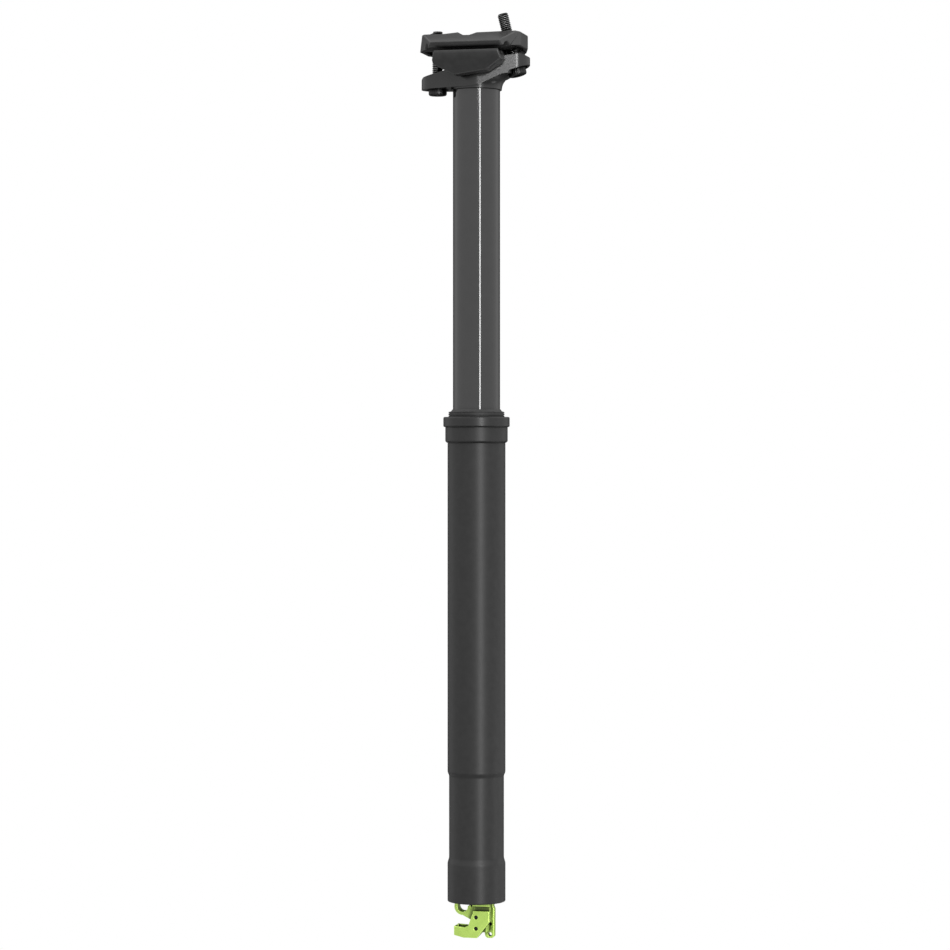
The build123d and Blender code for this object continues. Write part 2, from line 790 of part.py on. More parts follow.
with BuildPart() as saddle_head:
    with BuildSketch(side_plane):
        with BuildLine():
            Polyline(head_points(head_foot_shares + head_crown_shares), close=True)
        make_face()
    extrude(amount=head_mid_r + overrun, both=True)
    with BuildSketch(Plane.XZ):
        with BuildLine():
            Polyline(
                (head_ring_r + throat_r, seam + throat_r),
                (head_ring_r + throat_r, seam + throat_r + throat_band),
                (0, seam + throat_r + throat_band),
                (0, seam),
                (head_ring_r, seam),
            )
            RadiusArc((head_ring_r, seam), (head_ring_r + throat_r, seam + throat_r), throat_r)
        make_face()
    revolve(axis=Axis.Z)
    with BuildSketch(side_plane):
        with BuildLine():
            Polyline(head_points(head_base_shares + head_crown_shares), close=True)
        make_face()
    extrude(amount=head_mid_r + overrun, both=True, mode=Mode.INTERSECT)
    with BuildSketch(Plane.XY.offset(seam)):
        Circle(head_mid_r)
        with Locations((front_bolt_x, 0)):
            Circle(front_arm_r)
        with Locations((rear_bolt_x, 0)):
            Circle(rear_arm_r)
        make_hull()
    extrude(amount=head_height, mode=Mode.INTERSECT)
    # The trough that the cradle rocks in
    with BuildSketch(side_plane):
        with Locations((tilt_centre_x, tilt_z)):
            Circle(trough_r)
    extrude(amount=head_mid_r + overrun, both=True, mode=Mode.SUBTRACT)
    # Spigot pressed into the stanchion
    with BuildSketch(Plane.XY.offset(seam)):
        Circle(stanchion_bore_r)
    extrude(amount=-head_seat_depth)
    # Room and rocking seats for the bolt heads, and slots for the bolts
    add(rocker_room(front_frame), mode=Mode.SUBTRACT)
    add(rocker_room(rear_frame), mode=Mode.SUBTRACT)
    for frame in (front_frame, rear_frame):
        with BuildSketch(frame):
            SlotOverall(2 * arm_slot_half, 2 * (bolt_r + bolt_gap))
        extrude(amount=head_height, both=True, mode=Mode.SUBTRACT)
finish(saddle_head.part, "saddle_head")


def clamp_bolt(name, frame):
    # A socket-head bolt under a washer whose rounded top rocks in the arm
    with BuildPart() as bolt:
        with BuildSketch(frame.offset(-washer_height)):
            Circle(bolt_head_r)
        extrude(amount=-bolt_head_height)
        with BuildSketch(frame.offset(-washer_height - bolt_head_height)):
            RegularPolygon(socket_across / 2, side_count=6, major_radius=False)
        extrude(amount=socket_depth, mode=Mode.SUBTRACT)
        with BuildSketch(frame.offset(-washer_height)):
            Circle(bolt_r)
        extrude(amount=bolt_length)
    finish(bolt.part, f"{name}_clamp_bolt")
    with BuildPart() as washer:
        with BuildSketch(frame.offset(-washer_height)):
            Circle(washer_r)
            Circle(bolt_r, mode=Mode.SUBTRACT)
        extrude(amount=2 * washer_height)
        with BuildSketch(rocker_plane(frame)):
            Circle(rocker_r)
        extrude(amount=rocker_r, both=True, mode=Mode.INTERSECT)
    finish(washer.part, f"{name}_bolt_washer")


clamp_bolt("front", front_frame)
clamp_bolt("rear", rear_frame)

# Cradle: a side outline across the full width, cut away in the middle to the rocking cylinder
cradle_top = rail_z - clamp_gap / 2
cradle_side_shares = [
    (0.04, 1.0),
    (0.955, 1.0),
    (1.0, 0.6),
    (0.77, 0.17),
    (0.3, 0.0),
    (0.02, 0.43),
    (0.0, 0.6),
]
cradle_span = cradle_rear - cradle_front
with BuildPart() as rail_cradle:
    with BuildSketch(side_plane):
        with BuildLine():
            Polyline(
                [
                    (cradle_front + u * cradle_span, cradle_top - cradle_depth + v * cradle_depth)
                    for u, v in cradle_side_shares
                ],
                close=True,
            )
        make_face()
    extrude(amount=cradle_half_width, both=True)
    # An upright band along the top, then the sides slope in to the foot
    with BuildSketch(Plane.YZ.offset(-cradle_span)):
        with BuildLine():
            Polyline(
                (-cradle_foot_half_width, cradle_top - cradle_depth),
                (-cradle_half_width, cradle_top - cradle_band),
                (-cradle_half_width, cradle_top),
                (cradle_half_width, cradle_top),
                (cradle_half_width, cradle_top - cradle_band),
                (cradle_foot_half_width, cradle_top - cradle_depth),
                close=True,
            )
        make_face()
    extrude(amount=2 * cradle_span, mode=Mode.INTERSECT)
    with BuildSketch(side_plane):
        Rectangle(4 * cradle_span, 4 * tilt_z)
        with Locations((tilt_centre_x, tilt_z)):
            Circle(trough_r - seat_gap, mode=Mode.SUBTRACT)
    extrude(amount=cradle_inner, both=True, mode=Mode.SUBTRACT)
    with BuildSketch(Plane.YZ):
        with Locations((rail_spacing / 2, rail_z), (-rail_spacing / 2, rail_z)):
            Circle(rail_r)
    extrude(amount=cradle_span, both=True, mode=Mode.SUBTRACT)
    with BuildSketch(Plane.XY.offset(cradle_top)):
        with Locations((tilt_centre_x, 0)):
            RectangleRounded(2 * pocket_half, 2 * cradle_inner, overrun)
    extrude(amount=-pocket_depth, mode=Mode.SUBTRACT)
finish(rail_cradle.part, "rail_cradle")

# Top clamp: a roofed plate, wide over the rails and narrowing to a boss round each barrel nut
lip_foot = rail_z + clamp_gap / 2
crown_z = lip_foot + clamp_crown
nut_spots = {
    "front": (front_bolt_x, seam + front_nut_height),
    "rear": (rear_axis(rear_nut_height), seam + rear_nut_height),
}
with BuildPart() as top_clamp:
    with BuildSketch(Plane.XY.offset(lip_foot)) as clamp_sketch:
        with BuildLine():
            Polyline(
                (clamp_front, -clamp_nose_half),
                (clamp_shoulder_front, -clamp_half_width),
                (clamp_shoulder_rear, -clamp_half_width),
                (clamp_rear, -clamp_nose_half),
                (clamp_rear, clamp_nose_half),
                (clamp_shoulder_rear, clamp_half_width),
                (clamp_shoulder_front, clamp_half_width),
                (clamp_front, clamp_nose_half),
                close=True,
            )
        make_face()
        tail_corners = clamp_sketch.vertices().group_by(Axis.X)[-1]
        fillet(tail_corners, clamp_tail_r)
    extrude(amount=clamp_crown + clamp_rear_rise + valley_crest)
    # The roof falls from the crown to the lips, which are chamfered below
    with BuildSketch(Plane.YZ.offset(2 * clamp_front)):
        with BuildLine():
            Polyline(
                (-clamp_foot_half_width, lip_foot),
                (-clamp_half_width, lip_foot + clamp_lip_height),
                (-clamp_crown_half, crown_z + valley_crest),
                (clamp_crown_half, crown_z + valley_crest),
                (clamp_half_width, lip_foot + clamp_lip_height),
                (clamp_foot_half_width, lip_foot),
                close=True,
            )
        make_face()
    extrude(amount=-4 * clamp_front, mode=Mode.INTERSECT)
    # From the side the nose slants, the tail is lifted and a shallow valley crosses the crown
    with BuildSketch(side_plane):
        with BuildLine():
            Polyline(
                (clamp_front, lip_foot),
                (clamp_front + clamp_front_slant, crown_z - clamp_front_fall),
                (front_bolt_x + clamp_nose_length, crown_z - clamp_front_fall),
                (valley_front - valley_side, crown_z + valley_crest),
                (valley_front, crown_z - valley_depth),
                (valley_rear, crown_z - valley_depth),
                (valley_rear + valley_side, crown_z),
                (clamp_rear, crown_z + clamp_rear_rise),
                (clamp_rear + overrun, lip_foot + clamp_tail_lift),
                (clamp_shoulder_rear - overrun, lip_foot),
                close=True,
            )
        make_face()
    extrude(amount=clamp_half_width + overrun, both=True, mode=Mode.INTERSECT)
    # A boss rises round the rear bolt's end
    with BuildSketch(rear_plane(rear_nut_height)):
        Circle(clamp_boss_r)
    extrude(amount=crown_z + clamp_boss_rise - seam - rear_nut_height)
    with BuildSketch(Plane.YZ):
        with Locations((rail_spacing / 2, rail_z), (-rail_spacing / 2, rail_z)):
            Circle(rail_r)
    extrude(amount=-2 * clamp_front, both=True, mode=Mode.SUBTRACT)
    # Pockets for the barrel nuts, open below, and slots for the bolts
    for x, z in nut_spots.values():
        with BuildSketch(side_plane):
            with Locations((x, z)):
                Circle(nut_barrel_r + running_gap)
                Rectangle(2 * (nut_barrel_r + running_gap), head_height, align=(Align.CENTER, Align.MAX))
        extrude(amount=nut_barrel_half + running_gap, both=True, mode=Mode.SUBTRACT)
    for frame in (front_frame, rear_frame):
        with BuildSketch(frame):
            SlotOverall(2 * clamp_slot_half, 2 * (bolt_r + bolt_gap))
        extrude(amount=2 * head_height, mode=Mode.SUBTRACT)
finish(top_clamp.part, "top_clamp")


def barrel_nut(name, frame):
    # A cross dowel, bored with room for the bolt, which rocks in it
    with BuildPart() as dowel:
        with BuildSketch(side_plane):
            with Locations(nut_spots[name]):
                Circle(nut_barrel_r)
        extrude(amount=nut_barrel_half, both=True)
        with BuildSketch(frame):
            Circle(bolt_r + bolt_gap)
        extrude(amount=2 * head_height, mode=Mode.SUBTRACT)
    finish(dowel.part, f"{name}_barrel_nut")


barrel_nut("front", front_frame)
barrel_nut("rear", rear_frame)
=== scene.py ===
import json
import math
import bpy
import bmesh
from mathutils import Matrix, Vector


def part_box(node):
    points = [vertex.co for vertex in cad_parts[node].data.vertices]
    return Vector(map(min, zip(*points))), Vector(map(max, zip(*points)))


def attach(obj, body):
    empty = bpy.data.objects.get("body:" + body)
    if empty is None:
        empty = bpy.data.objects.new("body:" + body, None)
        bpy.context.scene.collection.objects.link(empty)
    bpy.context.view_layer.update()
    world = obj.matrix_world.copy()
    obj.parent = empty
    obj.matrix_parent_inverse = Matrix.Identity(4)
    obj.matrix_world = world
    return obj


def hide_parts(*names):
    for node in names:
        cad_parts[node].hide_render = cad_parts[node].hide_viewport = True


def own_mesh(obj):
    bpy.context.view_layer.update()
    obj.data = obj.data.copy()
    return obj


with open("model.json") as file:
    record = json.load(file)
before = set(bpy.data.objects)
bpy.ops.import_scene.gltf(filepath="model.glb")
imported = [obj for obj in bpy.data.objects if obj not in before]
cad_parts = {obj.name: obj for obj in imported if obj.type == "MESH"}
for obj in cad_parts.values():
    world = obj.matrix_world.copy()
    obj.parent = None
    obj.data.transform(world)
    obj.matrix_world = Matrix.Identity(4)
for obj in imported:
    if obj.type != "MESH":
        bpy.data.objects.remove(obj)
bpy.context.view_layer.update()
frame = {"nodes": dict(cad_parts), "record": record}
nodes = frame["nodes"]
record = frame["record"]
slot_of = {entry["node"]: entry["material_slot"] for entry in record["subparts"]}
body_of = {node: body for body, members in record["behaviour"]["bodies"].items() for node in members}
MM = 0.001
TAU = 2 * math.pi

# Sizes of the turned pieces, in millimetres, with heights from the underside of the collar
TUBE_R = 15.8
TUBE_BORE_R = 13.95
TUBE_SPIGOT_R = 15.0
TUBE_SPIGOT_TOP = 6.0
TUBE_FOOT = -250.0
TUBE_ROUND = 0.6
WAIST_R = 14.97
WAIST_TOP = -179.5
WAIST_FOOT = -229.0
WAIST_STEP = 2.0
WAIST_TAPER = 2.7
COLLAR_R = 17.04
COLLAR_TOP = 8.6
COLLAR_CHAMFER = 0.9
COLLAR_LIP_R = 13.3
COLLAR_ROUND = 0.25
NUT_R = 18.11
NUT_TOP = 14.1
NUT_LIP = 1.5
NUT_THREAD_R = 15.6
NUT_ROUND = 0.8
WIPER_SEAT_R = 14.4
WIPER_R = 15.3
WIPER_FOOT = 8.6
WIPER_RING_TOP = 16.8
WIPER_SHOULDER_R = 13.9
WIPER_SHOULDER = 17.2
WIPER_GROOVES = (14.7, 16.0)
WIPER_GROOVE = 0.4
WIPER_TOP = 18.2
WIPER_LIP_R = 13.2
WIPER_BORE_R = 12.92
WIPER_ROUND = 0.12
STANCHION_R = 12.87
STANCHION_BORE_R = 11.5
STANCHION_TOP = 192.4
STANCHION_ROUND = 0.3

# How turned pieces are divided and smoothed, in degrees. A rounded corner takes at most
# ROUND_SHARE of the run beside it, and its supporting points lie at SUPPORT_SHARE of its reach.
TURNED_SEGMENTS = 160
TURNED_SMOOTH = 40
ROUND_STEPS = 4
ROUND_SHARE = 0.4
SUPPORT_SHARE = 1.2

# Eased edges of the clamp and the actuator, in millimetres and degrees. An edge is eased where
# the short edges beside it are at least ROOMY_WIDTHS times as long as the easing is wide.
CRADLE_EDGE = 0.5
TOP_CLAMP_EDGE = 0.6
ACTUATOR_EDGE = 0.3
EDGE_SEGMENTS = 3
EDGE_SMOOTH = 35
# Faces with this mark get a painted highlight in their colour
EDGE_MARK = "eased_edge"
MERGE_GAP = 0.002
FLAT_ANGLE = 1.0
HARD_ANGLE = 24.0
ACUTE = 25.0
NEARLY_STRAIGHT = 155.0
ROOMY_WIDTHS = 1.5

# Clamp bolts, M6 socket screws, in millimetres
BOLT_R = 3.0
SHANK_LENGTH = 30.0
HEAD_R = 5.0
HEAD_HEIGHT = 5.0
HEAD_FLUTES = 24
HEAD_FLUTE_DEPTH = 0.22
SOCKET_R = 2.9
SOCKET_DEPTH = 3.0
SOCKET_RIM = 0.15
SOCKET_CHAMFER = 0.2
BOLT_SEGMENTS = HEAD_FLUTES * 4
BOLT_SMOOTH = 50

# The head's profile: heights above its end face, each with how far it lies inside the head's radius
HEAD_CROWN = ((0.0, 0.8), (0.15, 0.4), (0.6, 0.1))
FLUTES_START = 0.9

# The same at the shank's side, with heights down from the head's shoulder
FLUTES_END = 1.2
HEAD_BASE = ((0.9, 0.05), (0.1, 0.05), (0.0, 0.15))

# The thread: depths in millimetres, fades in turns, and slopes that leave flats at root and crest
THREAD_DEPTH = 0.5
THREAD_PITCH = 1.0
THREAD_STEPS = 8
THREAD_FADE_IN = 0.5
THREAD_FADE_OUT = 0.8
ROOT_SLOPE = 1.25
CREST_SLOPE = 1.4
CREST_DEPTH = 0.04
ROOT_R = BOLT_R - THREAD_DEPTH

# Finishes: the noise values between which roughness and shade change, how much coarser the
# shade's noise is than the bump's, and the depths of bumps and of recesses given painted shade
NOISE_RANGE = (0.3, 0.7)
TINT_RANGE = (0.35, 0.65)
BROAD_SHARE = 12
BROAD_DETAIL = 3.0
FINE_DETAIL = 4.0
BUMP_DEPTH = 0.05 * MM
OCCLUSION_DEPTH = 3 * MM
OCCLUSION_POWER = 3.0
EVEN = (1.0, 1.0, 1.0)
ALONG = (1.0, 1.0, 0.05)


# Shader helpers

def grey(level):
    return (level, level, level)


def new_material(name):
    material = bpy.data.materials.new(name)
    material.use_nodes = True
    tree = material.node_tree
    return material, tree, tree.nodes["Principled BSDF"]


def grain(tree, scale, detail, stretch=EVEN):
    # Noise in the object's own space, stretched along the axis the tool marks follow
    coords = tree.nodes.new("ShaderNodeTexCoord")
    mapping = tree.nodes.new("ShaderNodeMapping")
    mapping.inputs["Scale"].default_value = stretch
    noise = tree.nodes.new("ShaderNodeTexNoise")
    noise.inputs["Scale"].default_value = scale
    noise.inputs["Detail"].default_value = detail
    tree.links.new(coords.outputs["Object"], mapping.inputs["Vector"])
    tree.links.new(mapping.outputs["Vector"], noise.inputs["Vector"])
    return noise.outputs["Fac"]


def ranged(tree, value, limits, low=0.0, high=1.0):
    # Spreads a value that lies between two limits over the numbers from low to high
    spread = tree.nodes.new("ShaderNodeMapRange")
    spread.inputs["From Min"].default_value = limits[0]
    spread.inputs["From Max"].default_value = limits[1]
    spread.inputs["To Min"].default_value = low
    spread.inputs["To Max"].default_value = high
    tree.links.new(value, spread.inputs["Value"])
    return spread.outputs["Result"]


def ramped(tree, value, stops):
    # Colours at values from 0 to 1, with even runs between them
    ramp = tree.nodes.new("ShaderNodeValToRGB")
    elements = ramp.color_ramp.elements
    while len(elements) < len(stops):
        elements.new(0.5)
    for element, (position, colour) in zip(elements, stops):
        element.position = position
        element.color = (*colour, 1.0)
    tree.links.new(value, ramp.inputs["Fac"])
    return ramp.outputs["Color"]


def scaled(tree, colour, factor):
    scale = tree.nodes.new("ShaderNodeVectorMath")
    scale.operation = "SCALE"
    tree.links.new(colour, scale.inputs[0])
    tree.links.new(factor, scale.inputs["Scale"])
    return scale.outputs["Vector"]


def shadowed(tree, colour):
    # Painted shade: darkens a colour inside narrow recesses, by ambient occlusion
    hollow = tree.nodes.new("ShaderNodeAmbientOcclusion")
    hollow.inputs["Distance"].default_value = OCCLUSION_DEPTH
    deep = tree.nodes.new("ShaderNodeMath")
    deep.operation = "POWER"
    deep.inputs[1].default_value = OCCLUSION_POWER
    tree.links.new(hollow.outputs["AO"], deep.inputs[0])
    return scaled(tree, colour, deep.outputs["Value"])


def painted_edge_highlight(tree, colour, gain):
    # Painted highlight: lightens the faces that are marked as eased edges or thread crests
    edge = tree.nodes.new("ShaderNodeAttribute")
    edge.attribute_name = EDGE_MARK
    return scaled(tree, colour, ranged(tree, edge.outputs["Fac"], (0.0, 1.0), 1.0, gain))


def surface(
    name, dark, light, rough, spread, scale, bump,
    metallic=0.0, stretch=EVEN, specular=0.5, edge=1.6,
):
    # One finish: colour and roughness vary by noise, and a finer noise makes the bump.
    # Recesses get painted shade, and marked faces the colour times the value for edges, a painted
    # highlight.
    material, tree, shader = new_material(name)
    broad = grain(tree, scale / BROAD_SHARE, BROAD_DETAIL)
    fine = grain(tree, scale, FINE_DETAIL, stretch)
    tint = ramped(tree, broad, ((TINT_RANGE[0], dark), (TINT_RANGE[1], light)))
    colour = painted_edge_highlight(tree, shadowed(tree, tint), edge)
    gloss = ranged(tree, fine, NOISE_RANGE, rough - spread, rough + spread)
    relief = tree.nodes.new("ShaderNodeBump")
    relief.inputs["Strength"].default_value = bump
    relief.inputs["Distance"].default_value = BUMP_DEPTH
    tree.links.new(colour, shader.inputs["Base Color"])
    tree.links.new(gloss, shader.inputs["Roughness"])
    tree.links.new(fine, relief.inputs["Height"])
    tree.links.new(relief.outputs["Normal"], shader.inputs["Normal"])
    shader.inputs["Metallic"].default_value = metallic
    shader.inputs["Specular IOR Level"].default_value = specular
    return material


# Finishes, by the record's slot names

FINISHES = {
    "tube_black": dict(
        dark=grey(0.014), light=grey(0.017), rough=0.40, spread=0.03, scale=3500, bump=0.2, specular=0.38,
    ),
    "stanchion_black": dict(
        dark=grey(0.012), light=grey(0.014), rough=0.08, spread=0.0, scale=2500, bump=0.0,
        stretch=ALONG, specular=0.8,
    ),
    "head_black": dict(
        dark=grey(0.014), light=grey(0.016), rough=0.22, spread=0.01, scale=3000, bump=0.0,
    ),
    "clamp_black": dict(
        dark=grey(0.020), light=grey(0.025), rough=0.33, spread=0.04, scale=3500, bump=0.2,
    ),
    "nut_black": dict(
        dark=grey(0.012), light=grey(0.015), rough=0.32, spread=0.03, scale=3000, bump=0.12, specular=0.4,
    ),
    "seal_rubber": dict(
        dark=grey(0.03), light=grey(0.036), rough=0.55, spread=0.05, scale=2500, bump=0.3,
    ),
    "bushing_plastic": dict(
        dark=grey(0.05), light=grey(0.06), rough=0.5, spread=0.05, scale=2500, bump=0.2,
    ),
    "inner_aluminium": dict(
        dark=grey(0.62), light=grey(0.7), rough=0.3, spread=0.05, scale=2500, bump=0.15,
        metallic=1.0, stretch=ALONG,
    ),
    "rod_steel": dict(
        dark=grey(0.55), light=grey(0.62), rough=0.18, spread=0.03, scale=2500, bump=0.05,
        metallic=1.0, stretch=ALONG,
    ),
    "pin_steel": dict(
        dark=grey(0.02), light=grey(0.03), rough=0.35, spread=0.05, scale=2500, bump=0.1, metallic=0.6,
    ),
    "nut_steel": dict(
        dark=grey(0.03), light=grey(0.04), rough=0.35, spread=0.05, scale=2500, bump=0.1, metallic=0.5,
    ),
    # The bolt's high value for edges paints bright glints on the thread crests
    "bolt_steel": dict(
        dark=grey(0.045), light=grey(0.052), rough=0.28, spread=0.05, scale=2800, bump=0.15,
        metallic=1.0, edge=8.0,
    ),
    "key_brass": dict(
        dark=(0.6, 0.42, 0.18), light=(0.7, 0.52, 0.24), rough=0.3, spread=0.05, scale=2500, bump=0.1,
        metallic=1.0,
    ),
    "lime_anodised": dict(
        dark=(0.43, 0.62, 0.125), light=(0.47, 0.67, 0.14), rough=0.30, spread=0.04, scale=3200, bump=0.15,
        metallic=0.45,
    ),
}
finishes = {name: surface(name, **look) for name, look in FINISHES.items()}


def dress(piece, slot_name):
    piece.data.materials.clear()
    piece.data.materials.append(finishes[slot_name])


for node_name, node in nodes.items():
    dress(node, slot_of[node_name])


# Mesh helpers

def to_object(name, mesh_data):
    mesh = bpy.data.meshes.new(name)
    mesh_data.to_mesh(mesh)
    mesh_data.free()
    piece = bpy.data.objects.new(name, mesh)
    bpy.context.scene.collection.objects.link(piece)
    return piece


def smooth(piece, degrees):
    # Even shading, apart from edges that turn by more than the angle
    mesh = piece.data
    mesh.polygons.foreach_set("use_smooth", [True] * len(mesh.polygons))
    mesh.set_sharp_from_angle(angle=math.radians(degrees))
    mesh.update()


def stand_for(piece, node_name):
    # The piece takes the node's finish and body, and the node is hidden
    dress(piece, slot_of[node_name])
    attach(piece, body_of[node_name])
    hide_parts(node_name)


def eased(points, radius):
    # Rounds each corner of a closed outline of (r, z) points with a short curve.
    # A point just outside each end of the curve keeps the shading of the straight runs even.
    out = []
    for i, corner in enumerate(points):
        here = Vector(corner)
        to_last = Vector(points[i - 1]) - here
        to_next = Vector(points[(i + 1) % len(points)]) - here
        reach = min(radius, ROUND_SHARE * to_last.length, ROUND_SHARE * to_next.length)
        start = here + to_last.normalized() * reach
        end = here + to_next.normalized() * reach
        out.append(here + to_last.normalized() * reach * SUPPORT_SHARE)
        for step in range(ROUND_STEPS + 1):
            t = step / ROUND_STEPS
            out.append((1 - t) ** 2 * start + 2 * t * (1 - t) * here + t ** 2 * end)
        out.append(here + to_next.normalized() * reach * SUPPORT_SHARE)
    return out


def turned(name, node_name, radius, outline):
    # A closed outline of (r, z) points in millimetres, turned about the tube's axis
    rounded = eased(outline, radius)
    shape = bmesh.new()
    rings = []
    for i in range(TURNED_SEGMENTS):
        angle = TAU * i / TURNED_SEGMENTS
        x = math.cos(angle)
        y = math.sin(angle)
        rings.append([shape.verts.new((p.x * x * MM, p.x * y * MM, p.y * MM)) for p in rounded])
    for i in range(TURNED_SEGMENTS):
        one = rings[i]
        two = rings[(i + 1) % TURNED_SEGMENTS]
        for j in range(len(rounded)):
            k = (j + 1) % len(rounded)
            shape.faces.new((one[j], two[j], two[k], one[k]))
    bmesh.ops.recalc_face_normals(shape, faces=shape.faces)
    piece = to_object(name, shape)
    smooth(piece, TURNED_SMOOTH)
    stand_for(piece, node_name)


def crowded(edge, width):
    # True where a face beside the edge is too narrow, or its corner too sharp, for the easing
    for face in edge.link_faces:
        for vert in edge.verts:
            away = (edge.other_vert(vert).co - vert.co).normalized()
            for near in vert.link_edges:
                if near is edge or near not in face.edges:
                    continue
                turn = math.degrees(away.angle((near.other_vert(vert).co - vert.co).normalized()))
                short = near.calc_length() < ROOMY_WIDTHS * width
                if turn < ACUTE or (turn < NEARLY_STRAIGHT and short):
                    return True
    return False


def edged(name, node_name, width):
    # A copy of a CAD node with flat faces joined up and its roomy convex edges eased
    shape = bmesh.new()
    shape.from_mesh(nodes[node_name].data)
    mark = shape.faces.layers.float.new(EDGE_MARK)
    bmesh.ops.remove_doubles(shape, verts=shape.verts, dist=MERGE_GAP * MM)
    bmesh.ops.dissolve_limit(
        shape,
        angle_limit=math.radians(FLAT_ANGLE),
        verts=shape.verts,
        edges=shape.edges,
        delimit={"NORMAL"},
    )
    limit = math.radians(HARD_ANGLE)
    hard = [e for e in shape.edges if e.is_convex and e.calc_face_angle() > limit]
    done = bmesh.ops.bevel(
        shape,
        geom=[e for e in hard if not crowded(e, width * MM)],
        offset=width * MM,
        segments=EDGE_SEGMENTS,
        profile=0.5,
        affect="EDGES",
        clamp_overlap=False,
    )
    # The eased faces are marked, so that their colour gets a painted highlight
    for face in done["faces"]:
        face[mark] = 1.0
    bmesh.ops.recalc_face_normals(shape, faces=shape.faces)
    # The borders of the eased faces stay sharp, so that the flats are shaded flat
    borders = [e for e in shape.edges if len({face[mark] for face in e.link_faces}) > 1]
    shape.edges.index_update()
    seams = {e.index for e in borders}
    piece = to_object(name, shape)
    smooth(piece, EDGE_SMOOTH)
    for edge in piece.data.edges:
        edge.use_edge_sharp = edge.use_edge_sharp or edge.index in seams
    stand_for(piece, node_name)


# Outer tube, with its waist near the foot and a spigot for the collar

turned("tube_barrel", "outer_tube", TUBE_ROUND, [
    (TUBE_BORE_R, TUBE_SPIGOT_TOP),
    (TUBE_BORE_R, TUBE_FOOT),
    (TUBE_R, TUBE_FOOT),
    (TUBE_R, WAIST_FOOT),
    (WAIST_R, WAIST_FOOT + WAIST_TAPER),
    (WAIST_R, WAIST_TOP - WAIST_STEP),
    (TUBE_R, WAIST_TOP),
    (TUBE_R, 0.0),
    (TUBE_SPIGOT_R, 0.0),
    (TUBE_SPIGOT_R, TUBE_SPIGOT_TOP),
])

# Collar, ring nut and wiper

turned("collar_body", "collar", COLLAR_ROUND, [
    (TUBE_SPIGOT_R, 0.0),
    (COLLAR_R - COLLAR_CHAMFER, 0.0),
    (COLLAR_R, COLLAR_CHAMFER),
    (COLLAR_R, COLLAR_TOP),
    (NUT_THREAD_R, COLLAR_TOP),
    (NUT_THREAD_R, NUT_TOP - NUT_LIP),
    (WIPER_SEAT_R, NUT_TOP - NUT_LIP),
    (WIPER_SEAT_R, WIPER_FOOT),
    (COLLAR_LIP_R, WIPER_FOOT),
    (COLLAR_LIP_R, TUBE_SPIGOT_TOP),
    (TUBE_SPIGOT_R, TUBE_SPIGOT_TOP),
])
turned("collar_nut_ring", "collar_nut", NUT_ROUND, [
    (NUT_THREAD_R, COLLAR_TOP),
    (NUT_R, COLLAR_TOP),
    (NUT_R, NUT_TOP),
    (WIPER_SEAT_R, NUT_TOP),
    (WIPER_SEAT_R, NUT_TOP - NUT_LIP),
    (NUT_THREAD_R, NUT_TOP - NUT_LIP),
])
groove_outline = [point for foot in WIPER_GROOVES for point in (
    (WIPER_R, foot),
    (WIPER_R - WIPER_GROOVE, foot),
    (WIPER_R - WIPER_GROOVE, foot + WIPER_GROOVE),
    (WIPER_R, foot + WIPER_GROOVE),
)]
turned("wiper_ring", "wiper_seal", WIPER_ROUND, [
    (WIPER_BORE_R, WIPER_FOOT),
    (WIPER_SEAT_R, WIPER_FOOT),
    (WIPER_SEAT_R, NUT_TOP),
    (WIPER_R, NUT_TOP),
    *groove_outline,
    (WIPER_R, WIPER_RING_TOP),
    (WIPER_SHOULDER_R, WIPER_SHOULDER),
    (WIPER_LIP_R, WIPER_TOP),
    (WIPER_BORE_R, WIPER_TOP),
])

# Stanchion

stanchion_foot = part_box("stanchion")[0].z / MM
turned("stanchion_tube", "stanchion", STANCHION_ROUND, [
    (STANCHION_BORE_R, STANCHION_TOP),
    (STANCHION_BORE_R, stanchion_foot),
    (STANCHION_R, stanchion_foot),
    (STANCHION_R, STANCHION_TOP),
])

# Clamp and actuator: the CAD forms with their edges eased

edged("cradle_forging", "rail_cradle", CRADLE_EDGE)
edged("top_clamp_forging", "top_clamp", TOP_CLAMP_EDGE)
edged("bracket_machined", "actuator_bracket", ACTUATOR_EDGE)
edged("lever_machined", "release_lever", ACTUATOR_EDGE)


# Clamp bolts

def bolt_frame(node_name):
    # The bolt's own axis, from the centre of its head's end to the centre of its tip
    points = [v.co for v in nodes[node_name].data.vertices]
    low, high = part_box(node_name)
    foot = [p for p in points if p.z < low.z + HEAD_HEIGHT * MM / 2]
    tip = [p for p in points if p.z > high.z - HEAD_HEIGHT * MM / 2]
    start = sum(foot, Vector()) / len(foot)
    end = sum(tip, Vector()) / len(tip)
    along = (end - start).normalized()
    length = HEAD_HEIGHT + SHANK_LENGTH
    reach = max(p.dot(along) for p in points)
    origin = end + along * (reach - end.dot(along) - length * MM)
    side = Vector((0, 1, 0)).cross(along).normalized()
    turn = Matrix((side, along.cross(side), along)).transposed().to_4x4()
    return Matrix.Translation(origin) @ turn


def fluted(angle):
    # The head's radius at an angle, with shallow flutes for grip
    wave = 0.5 - 0.5 * math.cos(angle * HEAD_FLUTES)
    return HEAD_R - HEAD_FLUTE_DEPTH * wave ** 2


def hexagon(angle):
    # The socket's radius at an angle
    sector = (angle % (TAU / 6)) - TAU / 12
    return SOCKET_R * math.cos(TAU / 12) / math.cos(sector)


def helix(z, angle):
    # The thread's radius at a height and an angle, fading out at both ends of the shank
    left = (HEAD_HEIGHT + SHANK_LENGTH - z) / THREAD_PITCH
    grown = (z - HEAD_HEIGHT) / THREAD_PITCH
    fade = min(1.0, left / THREAD_FADE_OUT, grown / THREAD_FADE_IN)
    phase = (z / THREAD_PITCH - angle / TAU) % 1.0
    tooth = max(0.0, 1.0 - abs(2 * phase - 1.0) * ROOT_SLOPE)
    return ROOT_R + THREAD_DEPTH * min(1.0, tooth * CREST_SLOPE) * fade


